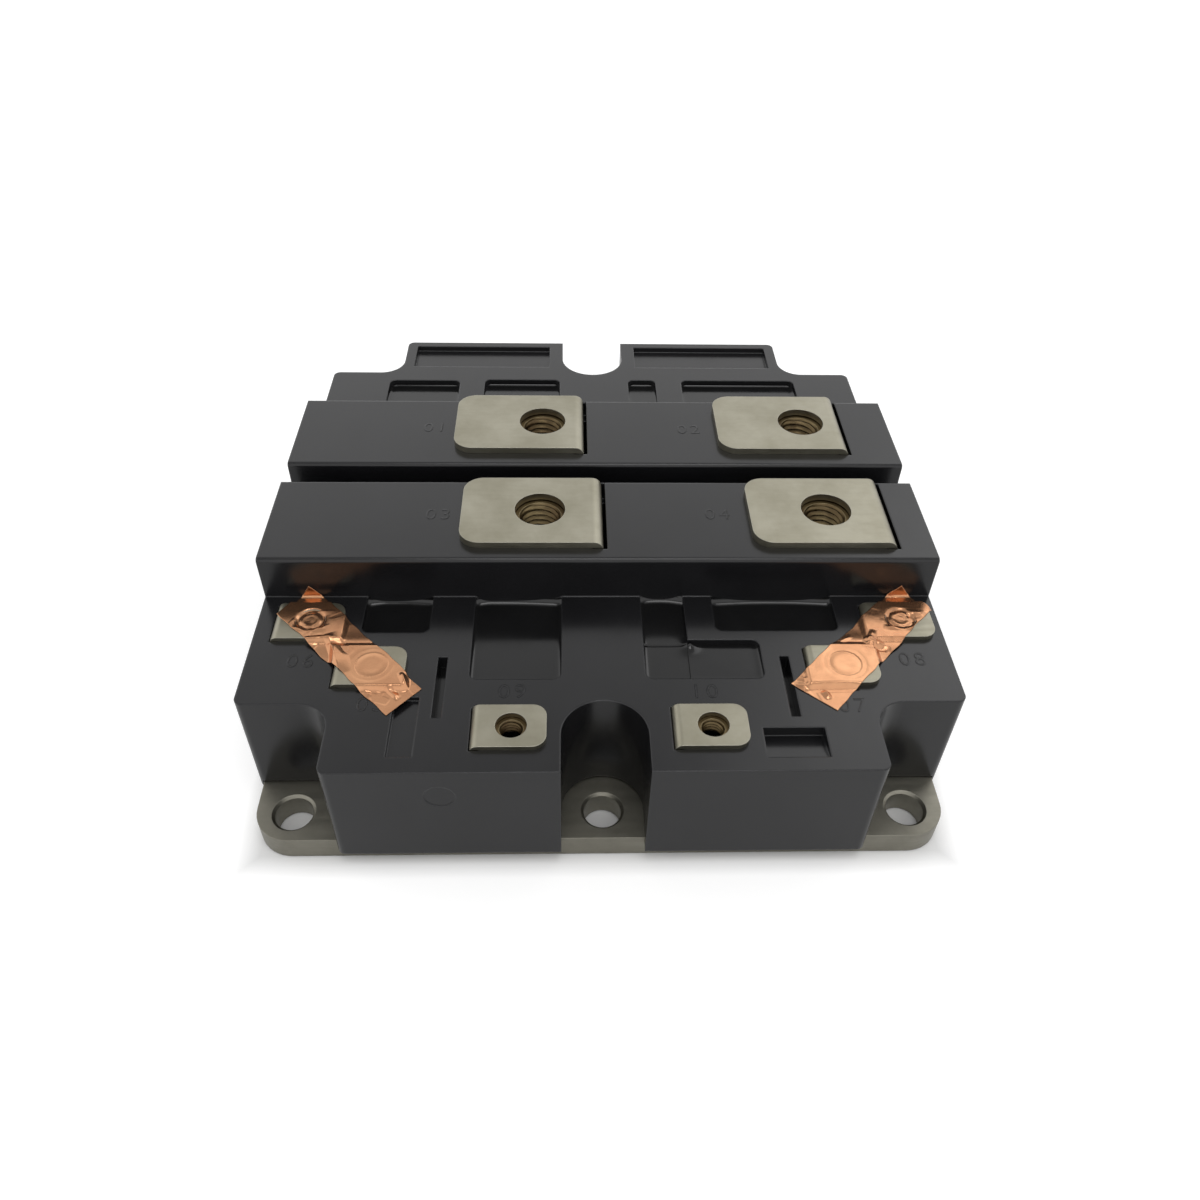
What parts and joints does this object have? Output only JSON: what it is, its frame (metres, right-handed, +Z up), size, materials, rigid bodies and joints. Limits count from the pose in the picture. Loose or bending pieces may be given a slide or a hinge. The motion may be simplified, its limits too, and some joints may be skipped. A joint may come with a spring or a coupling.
{
  "type": "dual igbt power module",
  "caption": "Dual power switch module: a black moulded case with two terminal towers on a metal base plate, its control terminals shorted by copper tape.",
  "frame": {"origin": "middle of the mounting face, under the base plate", "axes": "+Z up away from the heat sink, +X along the terminal towers, +Y from the control terminals towards the rear"},
  "size_m": [0.13, 0.14, 0.0383],
  "materials": {
    "base_metal": "matt nickel plate over a ground face",
    "case_plastic": "satin moulded, charcoal",
    "sealant": "matt bead",
    "solder": "dull",
    "bare_copper": "bare copper, dull",
    "ceramic": "white ceramic",
    "igbt_silicon": "metallised silicon",
    "diode_silicon": "metallised silicon",
    "bond_aluminium": "drawn wire",
    "plated_copper": "nickel plated, warm grey, satin",
    "nut_metal": "yellow passivated",
    "board": "solder mask",
    "pin_metal": "tinned",
    "resistor_body": "lacquered",
    "gel": "clear soft gel, drawn opaque",
    "resin": "black potting resin, satin",
    "copper_foil": "thin crinkled copper foil"
  },
  "bodies": {
    "root": {"base_plate": "base_metal", "housing": "case_plastic", "sealing_bead": "sealant", "substrate_solder": "solder", "substrate_backing": "bare_copper", "ceramic_front_left": "ceramic", "ceramic_front_right": "ceramic", "ceramic_rear_left": "ceramic", "ceramic_rear_right": "ceramic", "collector_pads": "bare_copper", "emitter_pads": "bare_copper", "gate_pads": "bare_copper", "igbt_chips": "igbt_silicon", "diode_chips": "diode_silicon", "bond_wires": "bond_aluminium", "emitter_bus_left": "plated_copper", "emitter_bus_right": "plated_copper", "collector_bus_left": "plated_copper", "collector_bus_right": "plated_copper", "gate_terminal_left": "plated_copper", "gate_terminal_right": "plated_copper", "emitter_terminal_left": "plated_copper", "emitter_terminal_right": "plated_copper", "collector_terminal_left": "plated_copper", "collector_terminal_right": "plated_copper", "main_nuts": "nut_metal", "small_nuts": "nut_metal", "gate_board_left": "board", "gate_board_right": "board", "gate_pins": "pin_metal", "gate_resistors": "resistor_body", "silicone_gel": "gel", "potting_resin": "resin", "shorting_tape_left": "copper_foil", "shorting_tape_right": "copper_foil"}
  },
  "joints": []
}
